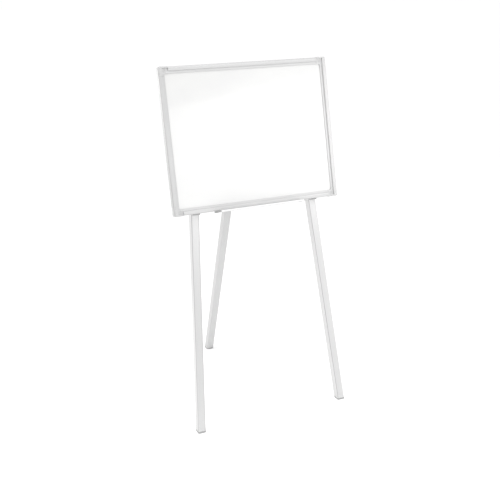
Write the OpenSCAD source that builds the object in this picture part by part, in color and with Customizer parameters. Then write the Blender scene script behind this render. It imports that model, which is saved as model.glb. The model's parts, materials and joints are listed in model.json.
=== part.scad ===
// Magnetic whiteboard on a folding three-legged desk easel.
// Millimetres. +Z is up and the board faces -Y. The origin lies on the floor, in the middle of the footprint.

/* [Board] */
// Width of the board over its rails
board_w = 356; // [340:1:440]
// Height of the board over its rails
board_h = 280; // [200:1:360]
// Width of a rail's face
rail_face = 12.5; // [11:0.5:16]
// Thickness of the frame, front to back
frame_t = 12; // [11:0.5:16]
// Wall of the rail extrusion
rail_wall = 1.4; // [1:0.1:1.8]
// Width of the hollow chamber along a rail's outer edge
chamber_w = 4.6; // [4.4:0.1:5.4]
// How far the writing sheet lies below the rails' faces
lip_t = 4; // [3.6:0.1:4.4]
// How far a rail's inner lip lies below its face
lip_drop = 2.4; // [1.6:0.1:2.8]
// Rounding of a rail's outer edges
rail_r = 2.2; // [1:0.1:3]
// Thickness of the white enamelled writing sheet
sheet_t = 0.6; // [0.4:0.1:1]
// Thickness of the galvanised back sheet
back_t = 0.5; // [0.4:0.1:1]

/* [Corner pieces] */
// Length of a corner piece along the top and bottom rails
corner_arm = 20; // [19:1:26]
// Length of a corner piece along the side rails
corner_rise = 17; // [16:1:26]
// How far a corner piece stands proud of the rails
corner_proud = 0.7; // [0.3:0.1:1.2]
// Outer corner radius, seen from the front
corner_r = 5; // [4:0.5:8]
// Rounding of a corner piece's outer side
corner_side_r = 5; // [3:0.5:6]
// Width of the raised rim along a corner piece's side
rim_w = 7.6; // [7:0.1:9]
// Fillet in the inner corner of the frame
inner_r = 4; // [2:0.5:6]
// Length of the tenons that plug into the rails
tenon_l = 12; // [8:1:16]
// Wall screw hole
wall_hole_d = 3.2; // [2.8:0.1:4]
// Countersink of the wall screw hole
sink_d = 5.4; // [4.8:0.1:6.6]
// Distance of the wall screw hole from the board's side
hole_x = 13; // [12:0.5:14]

/* [Pen tray] */
// Length of the tray with its end caps
tray_w = 183; // [120:1:190]
// How far the tray reaches out in front of the rail
tray_reach = 22; // [16:0.5:30]
// Thickness of the tray's floor and lip
tray_t = 1.6; // [1.2:0.1:2]
// Height of the front lip above the tray's floor
tray_lip = 1.2; // [1.2:0.1:6]
// How far the tray's floor lies below the rail where it starts
tray_low = 3; // [2.6:0.1:5]
// How far the floor rises from there to the lip
tray_rise = 2.8; // [1:0.1:5]
// Thickness of an end cap
cap_t = 2; // [1.6:0.1:3]

/* [Legs] */
// Side of the square leg tubes
leg = 16; // [14:0.5:18]
// Wall of the leg tubes
tube_wall = 1.2; // [1:0.1:1.6]
// Corner radius of the leg tubes
tube_r = 2; // [1.2:0.1:2.4]
// Distance from the board's side to a front leg's centre at the board's lower edge
leg_inset = 50; // [47:1:70]
// How far a front foot stands further out than its leg at the board's lower edge
foot_out = 32; // [20:1:60]
// Distance from the front feet to the rear foot
stance_d = 344; // [280:1:420]
// Backward lean of the front legs, in degrees
leg_lean = 12.5; // [8:0.5:16]
// Height of the board's lower edge, measured up the front legs
board_up = 436; // [360:1:560]
// Thickness of a foot plug below its tube
foot_t = 3.5; // [2.5:0.5:6]
// Thickness of a top plug above its tube
plug_t = 2; // [1.5:0.1:3]
// Length of a plug's spigot inside the tube
spigot_l = 12; // [8:1:20]

/* [Board fixing] */
// Gap between the bottom rail and the legs, filled by the spacers
board_gap = 8; // [6:0.5:12]
// Thickness of the steel straps between the top rail and the legs
strap_t = 1.2; // [0.8:0.1:2]
// Width of a spacer
spacer_w = 14; // [10:1:16]
// How far a spacer hangs below the board
spacer_low = 3; // [2:0.5:6]
// Height of a spacer above the board's lower edge
spacer_h = 18; // [12:1:30]
// How far the legs end below the board's top edge
top_drop = 9; // [8.5:0.5:20]
// Thread of the screws that hold the board
screw_d = 3.5; // [3:0.1:4]

/* [Hinge] */
// Distance from the tops of the front legs down to the hinge
pivot_drop = 78; // [50:1:120]
// Distance from the clevis web to the hinge pin's centre
hinge_gap = 12; // [10.5:0.1:15]
// Diameter of the pivot bolt
pivot_d = 6; // [5:0.5:8]
// Thickness of the steel of the crossbar and the clevis
steel_t = 1.5; // [1.2:0.1:2]
// Height of the crossbar
crossbar_h = 36; // [34:1:50]
// Depth of the crossbar's flanges
flange_d = 9; // [6:0.5:12]
// Thickness of the nylon thrust washers
thrust_t = 1; // [0.8:0.1:1.6]
// Wall of the bush across the rear leg
bush_wall = 1.2; // [1:0.1:2]
// Diameter of the rivets
rivet_d = 3.2; // [2.4:0.1:4]

/* [Clearances] */
// Radial gap of a pin that turns in its bore
running_gap = 0.05; // [0.02:0.01:0.1]
// Gap between faces that move past each other
swing_gap = 0.3; // [0.2:0.05:0.6]
// Gap round pieces that are fitted and stay put
fit_gap = 0.1; // [0.05:0.01:0.2]
// Gap left at the open leg's stop
stop_gap = 0.2; // [0.1:0.05:0.4]

/* [Hidden] */
$fn = 48;

// The panel between the rails
slot_a = 2 * rail_wall + chamber_w;
panel_in = slot_a + fit_gap;
hole_z = rail_face - 4.5;
panel_cut = hole_x + hole_z + sqrt(2) * (wall_hole_d / 2 + 1) - 2 * panel_in;
core_y = lip_t + sheet_t;
back_y = frame_t - rail_wall - back_t;
chamber_mid = rail_wall + chamber_w / 2;
// The legs: the front pair lies in one leaning plane, splayed towards the floor
feet_w = board_w - 2 * leg_inset + 2 * foot_out;
splay_t = foot_out / board_up;
splay = atan(splay_t);
board_tilt = asin((board_gap - strap_t) / board_h);
board_front = -(leg / 2 + board_gap + frame_t);
leg_top = board_up + board_h * cos(board_tilt) - top_drop - plug_t;
inner_side = leg - 2 * tube_wall;
// The hinge, placed from the front legs' plane
clevis_y = leg / 2 + steel_t;
pivot_y = clevis_y + steel_t + hinge_gap;
pivot_z = leg_top - pivot_drop;
ear_in = leg / 2 + swing_gap + thrust_t;
ear_out = ear_in + steel_t;
bush_r = pivot_d / 2 + running_gap + bush_wall;
ear_r = pivot_d / 2 + 5.5;
washer_r = pivot_d;
sink_h = (sink_d - wall_hole_d) / 2;
field_y = lip_drop - corner_proud;
washer_t = pivot_d / 5;
hex_w = pivot_d * 5 / 3;
// The rear leg, from the hinge pin down to its foot
rear_lean = atan((stance_d - pivot_y * cos(leg_lean) - pivot_z * sin(leg_lean)) / rear_rise());
fold = leg_lean + rear_lean;
rear_l = rear_rise() / cos(rear_lean);
stub_l = (hinge_gap - stop_gap - leg / 2 * cos(fold)) / sin(fold);
// The footprint, centred on the origin
foot_front = leg / 2 / cos(leg_lean);
foot_back = leg / 2 / cos(rear_lean);
front_y = (foot_front - foot_back - stance_d) / 2;
// Crossbar and rivets
bend_r = steel_t + 1;
flat_h = crossbar_h - 2 * bend_r;
rivet_row = flat_h / 2 - 1.4 * rivet_d;
strap_row = spigot_l + 1.8 * rivet_d;
strap_l = strap_row + 5.2 * rivet_d;
tray_rivet_x = tray_w / 3;
tray_end = tray_w / 2 - cap_t;
tray_front = tray_rise - tray_low;
bead_r = tray_t * 0.7;
bead_z = tray_front + tray_t + tray_lip - bead_r;
rivet_hole = rivet_d + 2 * fit_gap;
screw_hole = screw_d + 4 * fit_gap;
bolt_end = ear_out + washer_t + pivot_d + 1.5;
dark_grey = "#8c8d8e";
chamfer = plug_t / 2;
far = 1000;

function rear_rise() = pivot_z * cos(leg_lean) - pivot_y * sin(leg_lean);
// Half the distance between the front legs' centres at a height up their plane
function half_at(z) = feet_w / 2 - z * splay_t;
// Height up the legs' plane of a point of the board, given by its height and depth on the board
function plane_z(z, y) = board_up + z * cos(board_tilt) - y * sin(board_tilt);
low_screw_z = plane_z(chamber_mid, frame_t);
top_screw_z = plane_z(board_h - chamber_mid, frame_t);

echo(fold_angle = fold, pivot_world = [0, front_y + pivot_y * cos(leg_lean) + pivot_z * sin(leg_lean), rear_rise()]);

// Rectangle from the origin with its own radius in each corner: low left, low right, high right, high left
function cut_corner(p, r, a, b) = r > 0 ? [p + r * a, p + r * b] : [p];

module rounded(w, h, r) {
    polygon(concat(cut_corner([0, 0], r[0], [0, 1], [1, 0]), cut_corner([w, 0], r[1], [-1, 0], [0, 1]),
        cut_corner([w, h], r[2], [0, -1], [-1, 0]), cut_corner([0, h], r[3], [1, 0], [0, -1])));
    if (r[0] > 0) translate([r[0], r[0]]) circle(r[0]);
    if (r[1] > 0) translate([w - r[1], r[1]]) circle(r[1]);
    if (r[2] > 0) translate([w - r[2], h - r[2]]) circle(r[2]);
    if (r[3] > 0) translate([r[3], h - r[3]]) circle(r[3]);
}

// Rectangle from the origin with its corners cut off at 45 degrees
module clipped(w, h, c)
    polygon([[c, 0], [w - c, 0], [w, c], [w, h - c], [w - c, h], [c, h], [0, h - c], [0, c]]);

// The leaning plane of the front legs: X across, Y back, Z up the legs, from the floor between the feet
module leg_plane() translate([0, front_y, 0]) rotate([-leg_lean, 0, 0]) children();

// The board: X across, Y back from the rails' faces, Z up from the lower edge
module on_board() leg_plane() translate([0, board_front, board_up]) rotate([-board_tilt, 0, 0]) children();

// One front leg's own axis, from the floor up
module along_leg(side) leg_plane() translate([side * feet_w / 2, 0, 0]) rotate([0, -side * splay, 0]) children();

// The rear leg's own axis: the pivot is the origin and the leg hangs down from it
module along_rear() leg_plane() translate([0, pivot_y, pivot_z]) rotate([fold, 0, 0]) children();

// Half-spaces under and over a height above the floor
module below(h) translate([-far, -far, h - far]) cube([2 * far, 2 * far, far]);
module above(h) translate([-far, -far, h]) cube([2 * far, 2 * far, far]);

// Square bar with rounded edges, centred on its axis
module bar(w, r, z0, z1) translate([-w / 2, -w / 2, z0]) linear_extrude(z1 - z0) rounded(w, w, [r, r, r, r]);

module tube(z0, z1) difference() {
    bar(leg, tube_r, z0, z1);
    bar(inner_side, tube_r / 2, z0 - 1, z1 + 1);
}

module ring(outer, bore, h) difference() {
    cylinder(r = outer, h = h);
    translate([0, 0, -1]) cylinder(r = bore, h = h + 2);
}

// Pan head screw with a cross recess: the head's seat is at the origin and the shank runs along +Z
module pan_screw(length) difference() {
    head_h = screw_d * 0.6;
    tip = screw_d / 3;
    union() {
        rotate_extrude() translate([0, -head_h]) rounded(screw_d * 0.9, head_h, [0, head_h / 2, 0, 0]);
        cylinder(d = screw_d, h = length - tip);
        translate([0, 0, length - tip]) cylinder(d1 = screw_d, d2 = tip, h = tip);
    }
    for (turn = [0, 90]) rotate(turn) translate([-screw_d / 2, -screw_d / 10, -head_h - 1])
        cube([screw_d, screw_d / 5, head_h * 0.6 + 1]);
}

// Blind rivet with a domed head: the head's seat is at the origin and the shank runs along +Z through the grip
module rivet(grip) {
    dome_r = rivet_d * 1.4;
    head_h = rivet_d * 0.4;
    difference() {
        translate([0, 0, -head_h]) intersection() {
            translate([0, 0, dome_r]) sphere(dome_r);
            cylinder(r = rivet_d, h = head_h);
        }
        // Hole left by the mandrel
        translate([0, 0, -2 * head_h]) cylinder(d = rivet_d * 0.5, h = 1.8 * head_h);
    }
    cylinder(d = rivet_d, h = grip);
    translate([0, 0, grip]) cylinder(r1 = rivet_d * 0.7, r2 = rivet_d * 0.45, h = rivet_d * 0.6);
}

// Rail extrusion, cut across: X runs inwards from the outer edge and Y back from the face
module rail_profile() difference() {
    rounded(rail_face, frame_t, [rail_r, 0, 0, rail_r]);
    translate([slot_a + 0.2, -1]) square([rail_face, lip_drop + 1]);
    translate([rail_wall, rail_wall]) square([chamber_w, frame_t - 2 * rail_wall]);
    translate([slot_a, lip_t]) square([rail_face, frame_t - lip_t - rail_wall]);
    translate([rail_face - 2, frame_t / 2]) square([rail_face, frame_t]);
}

module long_rail() rotate([0, -90, 0]) linear_extrude(board_w - 2 * corner_arm, center = true) rail_profile();
module side_rail() translate([-board_w / 2, 0, corner_rise]) linear_extrude(board_h - 2 * corner_rise) rail_profile();

// Run of the corner piece along Z, rounded on its outer side at the front and the back
module corner_run(width, run, r) translate([-corner_proud, -corner_proud, -corner_proud])
    linear_extrude(run + corner_proud) rounded(width + corner_proud, frame_t + corner_proud, [r, 0, 0, r]);

// The corner piece's outline from the front, with the board's outer corner at the origin
module corner_outline() difference() {
    translate([-corner_proud, -corner_proud])
        rounded(corner_arm + corner_proud, corner_rise + corner_proud, [corner_r, 0, 0, 0]);
    translate([rail_face, rail_face]) rounded(far, far, [inner_r, 0, 0, 0]);
}

// Corner piece at the lower left, in the board's axes, with the board's outer corner at the origin
module corner_piece() difference() {
    tenon_d = frame_t - 2 * rail_wall - 2 * fit_gap;
    tenon_w = chamber_w - 2 * fit_gap;
    tenon_a = rail_wall + fit_gap;
    union() {
        intersection() {
            translate([0, far / 2, 0]) rotate([90, 0, 0]) linear_extrude(far) corner_outline();
            corner_run(corner_arm, corner_rise, corner_side_r);
            rotate([0, 90, 0]) mirror([1, 0, 0]) corner_run(corner_rise, corner_arm, rail_r);
        }
        translate([corner_arm - 1, tenon_a, tenon_a]) cube([tenon_l + 1, tenon_d, tenon_w]);
        translate([tenon_a, tenon_a, corner_rise - 1]) cube([tenon_w, tenon_d, tenon_l + 1]);
    }
    // Sunken field between the raised rims
    translate([rim_w, field_y, rail_r]) rotate([90, 0, 0])
        linear_extrude(far) rounded(corner_arm, corner_rise, [1, 0, 0, 0]);
    // Room for the corner of the panel
    translate([slot_a, frame_t - rail_wall, slot_a]) rotate([90, 0, 0])
        linear_extrude(frame_t - lip_t - rail_wall) clipped(far, far, panel_cut - fit_gap);
    // Wall screw hole, countersunk at the front
    translate([hole_x, field_y, hole_z]) rotate([-90, 0, 0]) {
        translate([0, 0, -frame_t]) cylinder(d = wall_hole_d, h = 3 * frame_t);
        translate([0, 0, -1]) cylinder(d1 = sink_d + 2, d2 = wall_hole_d, h = sink_h + 1);
    }
}

module flip_x(on) if (on) mirror([1, 0, 0]) children(); else children();
module flip_z(on) if (on) translate([0, 0, board_h]) mirror([0, 0, 1]) children(); else children();

module at_corner(right, top) color("lightgray") on_board() flip_x(right) flip_z(top)
    translate([-board_w / 2, 0, 0]) corner_piece();

// One layer of the panel, between two depths
module panel_layer(y0, y1) on_board() translate([-board_w / 2 + panel_in, y1, panel_in]) rotate([90, 0, 0])
    linear_extrude(y1 - y0) clipped(board_w - 2 * panel_in, board_h - 2 * panel_in, panel_cut);

// Tray section: X back from the rail's face and Y up from the rail's lower edge
module tray_profile() {
    translate([0, -tray_t]) square([frame_t - 1, tray_t]);
    translate([0, -tray_low]) square([tray_t, tray_low]);
    polygon([[tray_t, -tray_low], [tray_t, tray_t - tray_low], [bead_r - tray_reach, tray_front + tray_t],
        [bead_r - tray_reach, tray_front]]);
    translate([-tray_reach, tray_front]) rounded(tray_t, bead_z - tray_front, [tray_t / 2, 0, 0, 0]);
    translate([bead_r - tray_reach, bead_z]) circle(bead_r);
}

// End cap section: a thin margin round the tray's own section
module cap_profile() {
    margin = 0.3;
    front = -tray_reach - margin;
    brow = bead_z + bead_r + margin;
    polygon([[front, tray_front], [front + margin, tray_front - margin], [tray_t, -tray_low - margin],
        [frame_t - 1, -tray_low - margin], [frame_t - 1, -fit_gap], [-swing_gap, -fit_gap], [-swing_gap, tray_lip / 2],
        [front + 2 * tray_t, brow], [front + margin, brow], [front, brow - margin]]);
}

// Runs a section across the board, between two places along X
module along_board(x0, x1) on_board() translate([x0, 0, 0]) rotate([90, 0, 90]) linear_extrude(x1 - x0) children();

module tray_rivet_places() on_board() for (side = [-1, 1])
    translate([side * tray_rivet_x, frame_t / 2, -tray_t]) children();

// The screws' axes, pointing forward: the seats lie at a depth in the legs' plane
module screw_places(y, z) leg_plane() for (side = [-1, 1])
    translate([side * half_at(z), y, z]) rotate([90, 0, 0]) children();

module low_screw_holes(d) screw_places(leg / 2 + 1, low_screw_z) cylinder(d = d, h = leg + board_gap + frame_t / 2);
module top_screw_holes(d) screw_places(0, top_screw_z) cylinder(d = d, h = leg / 2 + frame_t / 2);

// Wedge between a leg and the board's back
module spacer(side) color(dark_grey) difference() {
    intersection() {
        on_board() translate([-far / 2, frame_t, -spacer_low]) cube([far, 3 * leg, spacer_low + spacer_h]);
        along_leg(side) translate([-spacer_w / 2, -leg / 2, 0]) rotate([90, 0, 0])
            linear_extrude(2 * leg) square([spacer_w, far]);
    }
    low_screw_holes(screw_hole);
}

// Strap in front of a leg's top, reaching up behind the top rail
module strap(side) color("silver") difference() {
    along_leg(side) translate([-leg / 2 + 1, -leg / 2, leg_top / cos(splay) - strap_l]) rotate([90, 0, 0])
        linear_extrude(strap_t) rounded(leg - 2, strap_l + top_drop + plug_t - 0.5, [2, 2, 4, 4]);
    top_screw_holes(screw_hole);
    strap_rivet_places() translate([0, 0, -1]) cylinder(d = rivet_hole, h = strap_t + 2);
}

module strap_rivet_places() for (side = [-1, 1], drop = [strap_row, strap_row + 3.2 * rivet_d])
    along_leg(side) translate([0, -leg / 2 - strap_t, leg_top / cos(splay) - drop]) rotate([-90, 0, 0]) children();

module front_leg(side) color("gainsboro") difference() {
    along_leg(side) tube(-leg, leg_top / cos(splay));
    below(foot_t);
    low_screw_holes(screw_hole);
    crossbar_rivet_places() cylinder(d = rivet_hole, h = leg / 2);
    strap_rivet_places() cylinder(d = rivet_hole, h = leg / 2);
}

// Foot plugs: a sole cut level with the floor and a spigot up the tube
module front_foot(side) color(dark_grey) {
    difference() {
        along_leg(side) bar(leg, tube_r, -leg, leg);
        below(0);
        above(foot_t);
    }
    difference() {
        along_leg(side) bar(inner_side - 2 * fit_gap, tube_r / 2, -leg, foot_t + spigot_l);
        below(foot_t / 2);
    }
}

module rear_foot() color(dark_grey) {
    difference() {
        along_rear() bar(leg, tube_r, -rear_l - leg, -rear_l + leg);
        below(0);
        above(foot_t);
    }
    difference() {
        along_rear() bar(inner_side - 2 * fit_gap, tube_r / 2, -rear_l - leg, -rear_l + foot_t + spigot_l);
        below(foot_t / 2);
    }
}

// Roof outline that cuts an edge of 45 degrees round the top of a plug
module plug_roof() rotate([90, 0, 0]) linear_extrude(2 * leg, center = true)
    polygon([[-leg / 2 - chamfer, 0], [leg / 2 + chamfer, 0], [leg / 2 - chamfer, plug_t], [chamfer - leg / 2, plug_t]]);

// Plug in the top of a tube whose end is at the origin
module top_plug() {
    intersection() {
        bar(leg, tube_r, 0, plug_t);
        plug_roof();
        rotate(90) plug_roof();
    }
    bar(inner_side - 2 * fit_gap, tube_r / 2, -spigot_l, plug_t / 2);
}

module front_plug(side) color(dark_grey) along_leg(side) translate([0, 0, leg_top / cos(splay)]) top_plug();

module crossbar_rivet_places() leg_plane() for (side = [-1, 1], row = [-1, 1])
    translate([side * half_at(pivot_z + row * rivet_row), clevis_y, pivot_z + row * rivet_row])
    rotate([90, 0, 0]) children();

module clevis_rivet_places() leg_plane() for (row = [-1, 1])
    translate([0, clevis_y + steel_t, pivot_z + row * rivet_row]) rotate([90, 0, 0]) children();

// Channel section: X up and Y back from the legs' back faces
module crossbar_channel() difference() {
    translate([-crossbar_h / 2, -flange_d]) rounded(crossbar_h, flange_d + steel_t, [0.4, 0.4, bend_r, bend_r]);
    translate([-crossbar_h / 2 + steel_t, -2 * flange_d])
        rounded(crossbar_h - 2 * steel_t, 2 * flange_d, [0, 0, bend_r - steel_t, bend_r - steel_t]);
}

// Crossbar: a pressed channel between the front legs, with flat ends riveted to their backs
module crossbar() color("silver") difference() {
    leg_plane() translate([0, leg / 2, pivot_z]) {
        reach = half_at(pivot_z) + leg / 2;
        inner = half_at(pivot_z + crossbar_h / 2) - leg / 2 - 2;
        translate([inner, 0, 0]) rotate([0, -90, 0]) linear_extrude(2 * inner) crossbar_channel();
        translate([-reach, steel_t, -flat_h / 2]) rotate([90, 0, 0])
            linear_extrude(steel_t) rounded(2 * reach, flat_h, [3, 3, 3, 3]);
    }
    crossbar_rivet_places() translate([0, 0, -1]) cylinder(d = rivet_hole, h = steel_t + 2);
    clevis_rivet_places() translate([0, 0, -1]) cylinder(d = rivet_hole, h = 2 * steel_t + 2);
}

// The pivot bolt's axis, starting at x and running to the right
module on_pivot(x) leg_plane() translate([x, pivot_y, pivot_z]) rotate([0, 90, 0]) children();

// Ear of the clevis from the side: X back from the crossbar and Y up
module ear_outline() {
    centre = steel_t + hinge_gap;
    polygon([[0, -flat_h / 2], [steel_t + 1, -flat_h / 2], [centre, -ear_r], [centre, ear_r],
        [steel_t + 1, flat_h / 2], [0, flat_h / 2]]);
    translate([centre, 0]) circle(ear_r);
}

// Clevis: a web on the crossbar and two ears that carry the pivot bolt
module clevis() color("silver") difference() {
    leg_plane() translate([0, clevis_y, pivot_z]) intersection() {
        translate([0, 0, -crossbar_h]) linear_extrude(2 * crossbar_h) difference() {
            translate([-ear_out, 0]) rounded(2 * ear_out, far, [bend_r, bend_r, 0, 0]);
            translate([-ear_in, steel_t]) rounded(2 * ear_in, far, [bend_r - steel_t, bend_r - steel_t, 0, 0]);
        }
        translate([-far / 2, 0, 0]) rotate([90, 0, 90]) linear_extrude(far) ear_outline();
    }
    on_pivot(-2 * ear_out) cylinder(d = pivot_d + 2 * running_gap, h = 4 * ear_out);
    clevis_rivet_places() translate([0, 0, -1]) cylinder(d = rivet_hole, h = 2 * steel_t + 2);
}

module hex_prism(h) cylinder(d = hex_w / cos(30), h = h, $fn = 6);

module pivot_bolt() color("silver") {
    on_pivot(-ear_out - washer_t) cylinder(d = pivot_d, h = ear_out + washer_t + bolt_end - 0.6);
    on_pivot(bolt_end - 0.6) cylinder(d1 = pivot_d, d2 = pivot_d - 1.2, h = 0.6);
    on_pivot(-ear_out - washer_t - pivot_d * 0.65) intersection() {
        hex_prism(pivot_d * 0.65);
        cylinder(d1 = hex_w * 0.95, d2 = hex_w * 2, h = pivot_d * 0.65);
    }
}

module pivot_nut() color("silver") on_pivot(ear_out + washer_t) difference() {
    union() {
        hex_prism(pivot_d * 0.7);
        cylinder(d = hex_w * 0.9, h = pivot_d);
    }
    translate([0, 0, -1]) cylinder(d = pivot_d + 2 * running_gap, h = pivot_d + 2);
}

// A pair of washers, one on each side of the leg, from x outwards
module washers(x, t) {
    on_pivot(x) ring(washer_r, pivot_d / 2 + fit_gap, t);
    on_pivot(-x - t) ring(washer_r, pivot_d / 2 + fit_gap, t);
}

module bush_bore(r) along_rear() translate([-leg, 0, 0]) rotate([0, 90, 0]) cylinder(r = r, h = 2 * leg);

module rear_leg() color("gainsboro") difference() {
    along_rear() tube(-rear_l - leg, stub_l - plug_t);
    below(foot_t);
    bush_bore(bush_r + running_gap);
}

module pivot_bush() color("whitesmoke")
    along_rear() translate([-leg / 2, 0, 0]) rotate([0, 90, 0]) ring(bush_r, pivot_d / 2 + running_gap, leg);

module rear_plug() color(dark_grey) difference() {
    along_rear() translate([0, 0, stub_l - plug_t]) top_plug();
    bush_bore(bush_r + swing_gap);
}

color("white") panel_layer(lip_t, core_y);  // writing_sheet
color("tan") panel_layer(core_y, back_y);  // panel_core
color("gray") panel_layer(back_y, back_y + back_t);  // back_sheet
color("gainsboro") difference() {  // top_rail
    on_board() translate([0, 0, board_h]) mirror([0, 0, 1]) long_rail();
    top_screw_holes(screw_d + 2 * fit_gap);
}
color("gainsboro") difference() {  // bottom_rail
    on_board() long_rail();
    low_screw_holes(screw_d + 2 * fit_gap);
    tray_rivet_places() cylinder(d = rivet_hole, h = tray_t + rail_wall + 1);
}
color("gainsboro") on_board() side_rail();  // left_rail
color("gainsboro") on_board() mirror([1, 0, 0]) side_rail();  // right_rail
at_corner(false, true);  // corner_top_left
at_corner(true, true);  // corner_top_right
at_corner(false, false);  // corner_bottom_left
at_corner(true, false);  // corner_bottom_right
color("gainsboro") difference() {  // pen_tray
    along_board(-tray_end, tray_end) tray_profile();
    tray_rivet_places() translate([0, 0, -1]) cylinder(d = rivet_hole, h = tray_t + 2);
}
color(dark_grey) along_board(-tray_w / 2, -tray_end) cap_profile();  // tray_cap_left
color(dark_grey) along_board(tray_end, tray_w / 2) cap_profile();  // tray_cap_right
color("silver") tray_rivet_places() rivet(tray_t + rail_wall);  // tray_rivets
spacer(-1);  // board_spacer_left
spacer(1);  // board_spacer_right
strap(-1);  // top_strap_left
strap(1);  // top_strap_right
color("silver") strap_rivet_places() rivet(strap_t + tube_wall);  // strap_rivets
color("silver") screw_places(leg / 2, low_screw_z)  // board_screws
    pan_screw(leg + board_gap + frame_t / 2);
color("silver") screw_places(-leg / 2, top_screw_z)  // top_screws
    pan_screw(strap_t + frame_t / 2);
front_leg(-1);  // front_leg_left
front_leg(1);  // front_leg_right
front_foot(-1);  // foot_left
front_foot(1);  // foot_right
front_plug(-1);  // leg_plug_left
front_plug(1);  // leg_plug_right
crossbar();
color("silver") crossbar_rivet_places() rivet(steel_t + tube_wall);  // crossbar_rivets
clevis();  // hinge_clevis
color("silver") clevis_rivet_places() rivet(2 * steel_t);  // clevis_rivets
pivot_bolt();
pivot_nut();
color("silver") washers(ear_out, washer_t);  // ear_washers
color("whitesmoke") washers(ear_in - thrust_t, thrust_t);  // thrust_washers
rear_leg();
pivot_bush();
rear_foot();  // foot_rear
rear_plug();  // leg_plug_rear
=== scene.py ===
"""Magnetic whiteboard on a folding three-legged desk easel.

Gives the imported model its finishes, a little trim, studio light and the photograph's camera.
"""
import json
import math

import bmesh
import bpy
from mathutils import Matrix, Vector


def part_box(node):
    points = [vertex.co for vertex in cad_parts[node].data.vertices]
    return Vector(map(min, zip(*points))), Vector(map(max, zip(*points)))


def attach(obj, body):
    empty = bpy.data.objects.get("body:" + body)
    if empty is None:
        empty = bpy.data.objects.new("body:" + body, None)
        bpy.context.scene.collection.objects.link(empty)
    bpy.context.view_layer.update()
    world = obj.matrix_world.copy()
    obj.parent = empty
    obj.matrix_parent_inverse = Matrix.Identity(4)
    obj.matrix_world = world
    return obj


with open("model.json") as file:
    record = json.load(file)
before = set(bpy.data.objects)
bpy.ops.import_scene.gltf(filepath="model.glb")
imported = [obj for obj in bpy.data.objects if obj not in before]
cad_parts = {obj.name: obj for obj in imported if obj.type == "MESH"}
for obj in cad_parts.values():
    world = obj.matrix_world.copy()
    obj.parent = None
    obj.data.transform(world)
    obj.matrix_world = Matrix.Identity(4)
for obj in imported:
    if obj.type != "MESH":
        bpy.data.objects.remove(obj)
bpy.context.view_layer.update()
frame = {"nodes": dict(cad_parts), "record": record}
MM = 0.001

# The camera of the photograph, worked out from the board's edges and the feet
CAMERA_AZIMUTH = math.radians(-25.08)
CAMERA_ELEVATION = math.radians(19.6)
CAMERA_DISTANCE = 1778 * MM
CAMERA_TARGET = Vector((-1.6, -65.3, 326.2)) * MM
CAMERA_LENS_MM = 62.4
SENSOR_MM = 36.0
NEAREST_M, FARTHEST_M = 0.05, 50


# Directions, read from the frame

mounts = {mount["name"]: mount for mount in frame["record"]["mounts"]}
board_out = Vector(mounts["wall_hole_top_left"]["axis"])
board_turn = (-math.asin(board_out.z), 0.0, 0.0)


def middle(node):
    low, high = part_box(node)
    return (low + high) / 2


def turn_between(low_node, high_node):
    """The turn that brings Z onto the line between two nodes."""
    return tuple((middle(high_node) - middle(low_node)).to_track_quat("Z", "Y").to_euler())


left_turn = turn_between("foot_left", "leg_plug_left")
right_turn = turn_between("foot_right", "leg_plug_right")
rear_turn = turn_between("foot_rear", "leg_plug_rear")


# Tools for the materials

# A colour mix names its sockets as the number and vector mixes do, so they go by their places
MIX_A, MIX_B, MIX_COLOUR = 6, 7, 2

# Most of a noise pattern lies this close to its middle value
NOISE_MIDDLE = 0.5
NOISE_HALF = 0.22


def linear(hex_colour):
    """An sRGB hex colour as linear RGBA."""
    parts = [int(hex_colour[i:i + 2], 16) / 255 for i in (0, 2, 4)]
    return (*(c / 12.92 if c <= 0.04045 else ((c + 0.055) / 1.055) ** 2.4 for c in parts), 1.0)


def add(tree, kind, sockets=None, **settings):
    """Adds one node. A socket takes a value, or the output that feeds it."""
    node = tree.nodes.new(kind)
    for name, value in settings.items():
        setattr(node, name, value)
    for name, value in (sockets or {}).items():
        if isinstance(value, bpy.types.NodeSocket):
            tree.links.new(value, node.inputs[name])
        else:
            node.inputs[name].default_value = value
    return node


def start(name, **shader_values):
    """A new material with its shader's own numbers set, and the point on the piece that it paints."""
    material = bpy.data.materials.new(name)
    material.use_nodes = True
    tree = material.node_tree
    shader = tree.nodes["Principled BSDF"]
    for socket, value in shader_values.items():
        shader.inputs[socket.replace("_", " ")].default_value = value
    point = add(tree, "ShaderNodeTexCoord").outputs["Object"]
    return material, tree, shader, point


def feed(tree, shader, **outputs):
    """Links outputs to the shader's sockets of these names."""
    for socket, output in outputs.items():
        tree.links.new(output, shader.inputs[socket.replace("_", " ")])


def grain(tree, point, cell_mm, turn=(0, 0, 0), detail=2.0):
    """Noise with cells of the given sizes in millimetres, along the piece's own turned axes."""
    placed = add(tree, "ShaderNodeMapping",
                 {"Vector": point, "Rotation": turn, "Scale": [c * MM for c in cell_mm]},
                 vector_type="TEXTURE")
    noise = add(tree, "ShaderNodeTexNoise",
                {"Vector": placed.outputs[0], "Scale": 1.0, "Detail": detail})
    return noise.outputs["Fac"]


def spread(tree, factor, low, high, centre=NOISE_MIDDLE, half=NOISE_HALF):
    """Stretches a pattern's middle part to the range from low to high."""
    return add(tree, "ShaderNodeMapRange",
               {"Value": factor, "From Min": centre - half, "From Max": centre + half,
                "To Min": low, "To Max": high}).outputs[0]


def tint(tree, factor, dark, light):
    """A colour between two, each a hex colour or the output that gives it."""
    ends = [linear(end) if isinstance(end, str) else end for end in (dark, light)]
    return add(tree, "ShaderNodeMix", {0: factor, MIX_A: ends[0], MIX_B: ends[1]},
               data_type="RGBA").outputs[MIX_COLOUR]


def relief(tree, shader, height, depth_mm):
    """Bump of a real depth in millimetres."""
    bump = add(tree, "ShaderNodeBump", {"Height": height, "Distance": depth_mm * MM, "Strength": 1.0})
    tree.links.new(bump.outputs[0], shader.inputs["Normal"])


# Materials

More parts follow.
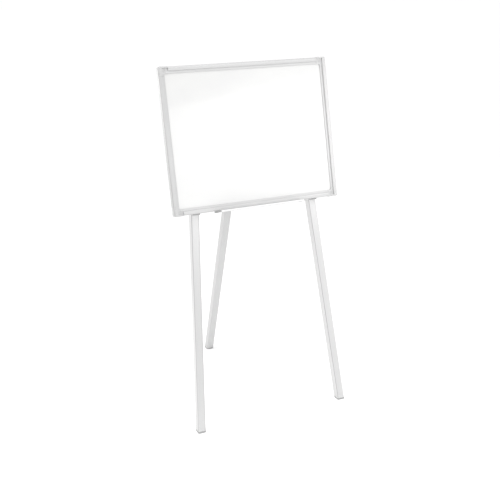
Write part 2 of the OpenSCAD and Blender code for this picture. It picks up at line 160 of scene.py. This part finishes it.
def white_enamel():
    """Fired white enamel on steel sheet: a hard gloss with a faint orange peel and wiped patches."""
    material, tree, shader, point = start("fired white enamel on steel", IOR=1.5, Coat_Weight=0.5,
                                          Coat_Roughness=0.06)
    wiped = grain(tree, point, cell_mm=(90, 90, 50), turn=board_turn, detail=4.0)
    feed(tree, shader, Base_Color=tint(tree, spread(tree, wiped, 0, 1), "c9c9c9", "cdcdcc"),
         Roughness=spread(tree, wiped, 0.16, 0.26))
    relief(tree, shader, grain(tree, point, cell_mm=(6, 6, 6)), depth_mm=0.006)
    return material


# The sizes of one die line in millimetres: across it twice, and along it
LENGTHWAYS = (2.4, 2.4, 220)
ACROSS = (220, 2.4, 2.4)


def anodised_aluminium(name, die_line_mm, dark="b8b8b8", light="c1c1c1"):
    """Extruded aluminium, anodised: a satin metal with the die's lines along its length.

    Real die lines are too fine to show, so they are drawn a few millimetres wide.
    """
    material, tree, shader, point = start(name, Metallic=0.4)
    lines = grain(tree, point, cell_mm=die_line_mm, turn=board_turn, detail=3.0)
    clouds = grain(tree, point, cell_mm=(60, 60, 60), turn=board_turn)
    feed(tree, shader, Base_Color=tint(tree, spread(tree, lines, 0, 1), dark, light),
         Roughness=spread(tree, clouds, 0.48, 0.56))
    relief(tree, shader, lines, depth_mm=0.015)
    return material


# Where both sideways parts of a tube's normal multiply to this, the point lies on its rounded corner
CORNER_PRODUCT = 0.37
CORNER_FADE = 0.09


def anodised_tube(name, turn, dark="cacaca", light="d0d0d0", corner_reflection_grey="aeaeae"):
    """Square aluminium tube, blasted and anodised: a dull silver, its rounded corners made greyer by a
    painted dark reflection.

    A slow wave runs along its length. The blasting is drawn coarser than it is, so that it shows.
    """
    material, tree, shader, point = start(name, Metallic=0.7)
    facing = add(tree, "ShaderNodeMapping",
                 {"Vector": point.node.outputs["Normal"], "Rotation": turn}, vector_type="TEXTURE")
    sides = add(tree, "ShaderNodeSeparateXYZ", {"Vector": facing.outputs[0]})
    product = add(tree, "ShaderNodeMath", {0: sides.outputs["X"], 1: sides.outputs["Y"]},
                  operation="MULTIPLY")
    size = add(tree, "ShaderNodeMath", {0: product.outputs[0]}, operation="ABSOLUTE")
    at_corner = spread(tree, size.outputs[0], 0, 1, centre=CORNER_PRODUCT, half=CORNER_FADE)
    blasted = grain(tree, point, cell_mm=(0.7, 0.7, 0.7))
    wave = grain(tree, point, cell_mm=(14, 14, 160), turn=turn)
    silver = tint(tree, spread(tree, blasted, 0, 1), dark, light)
    # The rounded corners take the painted dark reflection, greyer than the silver of the faces.
    feed(tree, shader, Base_Color=tint(tree, at_corner, silver, corner_reflection_grey),
         Roughness=spread(tree, wave, 0.4, 0.48))
    relief(tree, shader, wave, depth_mm=0.03)
    return material


def moulded_plastic(name, dark, light, roughness):
    """Injection-moulded ABS: an even colour with its mould's spark-eroded grain, drawn coarse."""
    material, tree, shader, point = start(name, IOR=1.53, Subsurface_Weight=0.25,
                                          Subsurface_Scale=2 * MM, Subsurface_Radius=(1, 1, 1))
    grit = grain(tree, point, cell_mm=(0.8, 0.8, 0.8), detail=1.0)
    flow = grain(tree, point, cell_mm=(18, 18, 18))
    feed(tree, shader, Base_Color=tint(tree, spread(tree, flow, 0, 1), dark, light),
         Roughness=spread(tree, flow, roughness - 0.05, roughness + 0.05))
    relief(tree, shader, grit, depth_mm=0.03)
    return material


def grey_rubber():
    """Moulded rubber: a dull mid grey with a pale bloom and a pebbled skin."""
    material, tree, shader, point = start("moulded grey rubber", IOR=1.52, Specular_IOR_Level=0.3)
    bloom = grain(tree, point, cell_mm=(5, 5, 5), detail=4.0)
    feed(tree, shader, Base_Color=tint(tree, spread(tree, bloom, 0, 1), "989898", "a4a4a4"),
         Roughness=spread(tree, bloom, 0.62, 0.8))
    relief(tree, shader, grain(tree, point, cell_mm=(0.9, 0.9, 0.9)), depth_mm=0.05)
    return material


def zinc_plate():
    """Pressed steel with bright zinc plating: a faintly clouded metal, smooth to the touch."""
    material, tree, shader, point = start("bright zinc plated steel", Metallic=1.0)
    clouds = grain(tree, point, cell_mm=(9, 9, 9), detail=4.0)
    feed(tree, shader, Base_Color=tint(tree, spread(tree, clouds, 0, 1), "bfc1c2", "cacbcb"),
         Roughness=spread(tree, clouds, 0.26, 0.4))
    relief(tree, shader, grain(tree, point, cell_mm=(1.2, 1.2, 1.2)), depth_mm=0.01)
    return material


CRYSTAL_MM = 6


def galvanised_sheet():
    """Hot-dip galvanised sheet: flat zinc crystals, each with a grey and a gloss of its own."""
    material, tree, shader, point = start("hot dip galvanised sheet", Metallic=0.9)
    placed = add(tree, "ShaderNodeMapping",
                 {"Vector": point, "Rotation": board_turn, "Scale": [CRYSTAL_MM * MM] * 3},
                 vector_type="TEXTURE")
    bend = add(tree, "ShaderNodeTexNoise", {"Vector": placed.outputs[0], "Scale": 2.0, "Detail": 2.0})
    bent = add(tree, "ShaderNodeVectorMath", {0: bend.outputs["Color"], 1: placed.outputs[0]})
    crystals = add(tree, "ShaderNodeTexVoronoi", {"Vector": bent.outputs[0], "Scale": 1.0})
    shade = add(tree, "ShaderNodeSeparateColor", {"Color": crystals.outputs["Color"]})
    feed(tree, shader, Base_Color=tint(tree, shade.outputs[0], "acaeaf", "b9bbbb"),
         Roughness=spread(tree, shade.outputs[1], 0.4, 0.5, centre=0.5, half=0.5))
    relief(tree, shader, crystals.outputs["Distance"], depth_mm=0.012)
    return material


def natural_nylon():
    """Turned nylon: milky, with light passing a little way in, and the cutter's rings round it."""
    material, tree, shader, point = start("natural nylon", IOR=1.53, Subsurface_Weight=0.3,
                                          Subsurface_Scale=1.5 * MM, Subsurface_Radius=(1, 1, 1))
    rings = grain(tree, point, cell_mm=(0.5, 8, 8))
    feed(tree, shader, Base_Color=tint(tree, spread(tree, rings, 0, 1), "e4e3dc", "efeee8"),
         Roughness=spread(tree, rings, 0.38, 0.48))
    relief(tree, shader, rings, depth_mm=0.02)
    return material


def fibre_core():
    """Fibre board between the two steel sheets: a dry brown with short upright fibres."""
    material, tree, shader, point = start("fluted fibre board", Roughness=0.9)
    fibre = grain(tree, point, cell_mm=(1.2, 1.2, 6), turn=board_turn, detail=5.0)
    feed(tree, shader, Base_Color=tint(tree, spread(tree, fibre, 0, 1), "a08a68", "c4ad88"))
    relief(tree, shader, fibre, depth_mm=0.1)
    return material


rail_across = anodised_aluminium("anodised aluminium, drawn across", ACROSS)
rail_upright = anodised_aluminium("anodised aluminium, drawn upwards", LENGTHWAYS)
# The left rail is drawn a shade darker than the other rails: painted shade, evening out the light that
# falls on it
rail_left = anodised_aluminium("anodised aluminium, left rail", LENGTHWAYS, "b0b0b0", "b9b9b9")
# The tray is drawn lighter than the rails: painted light, lifting the shade it casts on the bottom rail
# and the panel
tray_aluminium = anodised_aluminium("anodised aluminium, tray", ACROSS, "d2d2d2", "dadada")
corner_plastic = moulded_plastic("moulded light grey abs", "b5b5b5", "bbbbbb", roughness=0.42)
# The covers are drawn a shade darker than the corner pieces they sit in: painted shade for the screw
# holes under them.
cover_plastic = moulded_plastic("moulded cover grey abs", "aeaeae", "b5b5b5", roughness=0.42)
grey_plastic = moulded_plastic("moulded mid grey abs", "9b9b9b", "a3a3a3", roughness=0.45)
rubber = grey_rubber()
zinc = zinc_plate()
nylon = natural_nylon()

FINISHES = {
    "writing_sheet": white_enamel(),
    "panel_core": fibre_core(),
    "back_sheet": galvanised_sheet(),
    "top_rail": rail_across,
    "bottom_rail": rail_across,
    "left_rail": rail_left,
    "right_rail": rail_upright,
    "pen_tray": tray_aluminium,
    "front_leg_left": anodised_tube("anodised tube, left leg", left_turn),
    "front_leg_right": anodised_tube("anodised tube, right leg", right_turn),
    # The rear leg is the same tube as the front legs, drawn darker: painted shade.
    "rear_leg": anodised_tube("anodised tube, rear leg", rear_turn, "bebebe", "c4c4c4", "bababa"),
    "thrust_washers": nylon,
    "pivot_bush": nylon,
}
FINISHES_BY_START = {
    "corner_": corner_plastic,
    "tray_cap": grey_plastic,
    "board_spacer": grey_plastic,
    "leg_plug": grey_plastic,
    "foot_": rubber,
}


def finish_of(name):
    """The finish of a CAD piece. Straps, brackets and fasteners are all zinc plated."""
    by_start = (finish for first, finish in FINISHES_BY_START.items() if name.startswith(first))
    return FINISHES.get(name) or next(by_start, zinc)


for name, node in frame["nodes"].items():
    node.data.materials.clear()
    node.data.materials.append(finish_of(name))


# Snap-in covers over the wall screw holes

COVER_FOOT_R = 1.52 * MM
COVER_R = 2.6 * MM
COVER_DEPTH = 1.08 * MM
COVER_SIDES = 40
COVER_CROWN = 0.15 * MM
COVER_RIM = 0.5 * MM
DIMPLE_R_SHARE = 0.45
COVER_EDGE = 0.06 * MM
SHARPER_THAN = math.radians(20)
SMOOTH_BELOW = math.radians(40)


def pick_top(piece):
    """Selects only the face that looks straight up."""
    bpy.ops.mesh.select_mode(type="FACE")
    bpy.ops.mesh.select_all(action="DESELECT")
    mesh = bmesh.from_edit_mesh(piece.data)
    top = max(mesh.faces, key=lambda face: face.normal.z * 100 + face.calc_center_median().z)
    top.select_set(True)
    bmesh.update_edit_mesh(piece.data)


def hole_cover():
    """One cover at the origin, looking up: a cone that fills the countersink, crowned and dimpled."""
    bpy.ops.object.select_all(action="DESELECT")
    bpy.ops.mesh.primitive_cone_add(vertices=COVER_SIDES, radius1=COVER_FOOT_R, radius2=COVER_R,
                                    depth=COVER_DEPTH, location=(0, 0, COVER_DEPTH / 2))
    cover = bpy.context.object
    bpy.ops.object.mode_set(mode="EDIT")
    pick_top(cover)
    bpy.ops.mesh.inset(thickness=COVER_RIM, depth=COVER_CROWN)
    bpy.ops.mesh.inset(thickness=COVER_RIM, depth=COVER_CROWN / 3)
    bpy.ops.mesh.inset(thickness=COVER_R * DIMPLE_R_SHARE, depth=-COVER_CROWN * 2)
    bpy.ops.object.mode_set(mode="OBJECT")
    edge = cover.modifiers.new("edge", "BEVEL")
    edge.width, edge.segments = COVER_EDGE, 2
    edge.limit_method, edge.angle_limit = "ANGLE", SHARPER_THAN
    bpy.ops.object.modifier_apply(modifier="edge")
    bpy.ops.object.shade_smooth_by_angle(angle=SMOOTH_BELOW)
    bpy.ops.object.transform_apply(location=True, rotation=True, scale=True)
    cover.data.materials.append(cover_plastic)
    return cover


pattern_cover = hole_cover()
for name, mount in sorted(mounts.items()):
    if name.startswith("wall_hole"):
        cover = bpy.data.objects.new(name.replace("wall_hole", "hole_cover"), pattern_cover.data.copy())
        bpy.context.scene.collection.objects.link(cover)
        seat = Matrix.LocRotScale(Vector(mount["pos_m"]), board_out.to_track_quat("Z", "Y"), None)
        cover.data.transform(seat)
        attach(cover, "stand")
bpy.data.objects.remove(pattern_cover)


# Floor, light and camera

FLOOR_M = 24


def stage_floor():
    """A pale floor, wide enough to fill the view."""
    bpy.ops.object.select_all(action="DESELECT")
    bpy.ops.mesh.primitive_plane_add(size=FLOOR_M, location=(0, 0, 0))
    floor = bpy.context.object
    floor.name = "floor"
    material = start("pale matt floor", Base_Color=linear("ffffff"), Roughness=0.9,
                     Specular_IOR_Level=0.1)[0]
    floor.data.materials.append(material)


def soft_light(name, place_mm, aim_mm, width_mm, height_mm, watts):
    """A softbox, seen only by what it lights."""
    light = bpy.data.lights.new(name, "AREA")
    light.shape = "RECTANGLE"
    light.size, light.size_y, light.energy = width_mm * MM, height_mm * MM, watts
    box = bpy.data.objects.new(name, light)
    place, aim = Vector(place_mm) * MM, Vector(aim_mm) * MM
    box.matrix_world = Matrix.LocRotScale(place, (place - aim).to_track_quat("Z", "Y"), None)
    box.visible_camera = False
    bpy.context.scene.collection.objects.link(box)


def white_room(strength):
    """Even white light from all round."""
    world = bpy.data.worlds.new("white room")
    world.use_nodes = True
    background = world.node_tree.nodes["Background"]
    background.inputs["Color"].default_value = linear("ffffff")
    background.inputs["Strength"].default_value = strength
    bpy.context.scene.world = world


def photograph_camera():
    """The photograph's camera, held level and aimed at its target."""
    lens = bpy.data.cameras.new("camera")
    lens.lens, lens.sensor_width = CAMERA_LENS_MM, SENSOR_MM
    lens.clip_start, lens.clip_end = NEAREST_M, FARTHEST_M
    camera = bpy.data.objects.new("camera", lens)
    away = Vector((math.sin(CAMERA_AZIMUTH) * math.cos(CAMERA_ELEVATION),
                   -math.cos(CAMERA_AZIMUTH) * math.cos(CAMERA_ELEVATION),
                   math.sin(CAMERA_ELEVATION)))
    camera.matrix_world = Matrix.LocRotScale(CAMERA_TARGET + away * CAMERA_DISTANCE,
                                             away.to_track_quat("Z", "Y"), None)
    bpy.context.scene.collection.objects.link(camera)
    bpy.context.scene.camera = camera


stage_floor()
white_room(strength=1.02)
soft_light("top softbox", place_mm=(-150, -560, 1450), aim_mm=(0, -100, 350),
           width_mm=800, height_mm=800, watts=4)
soft_light("front softbox", place_mm=(210, -460, 630), aim_mm=(0, -100, 400),
           width_mm=700, height_mm=300, watts=1.12)
soft_light("right softbox", place_mm=(520, -700, 200), aim_mm=(150, -120, 300),
           width_mm=450, height_mm=250, watts=0.2)
soft_light("left strip", place_mm=(-700, 420, 700), aim_mm=(-100, -90, 250),
           width_mm=200, height_mm=400, watts=4)
photograph_camera()
bpy.context.scene.view_settings.view_transform = "Standard"
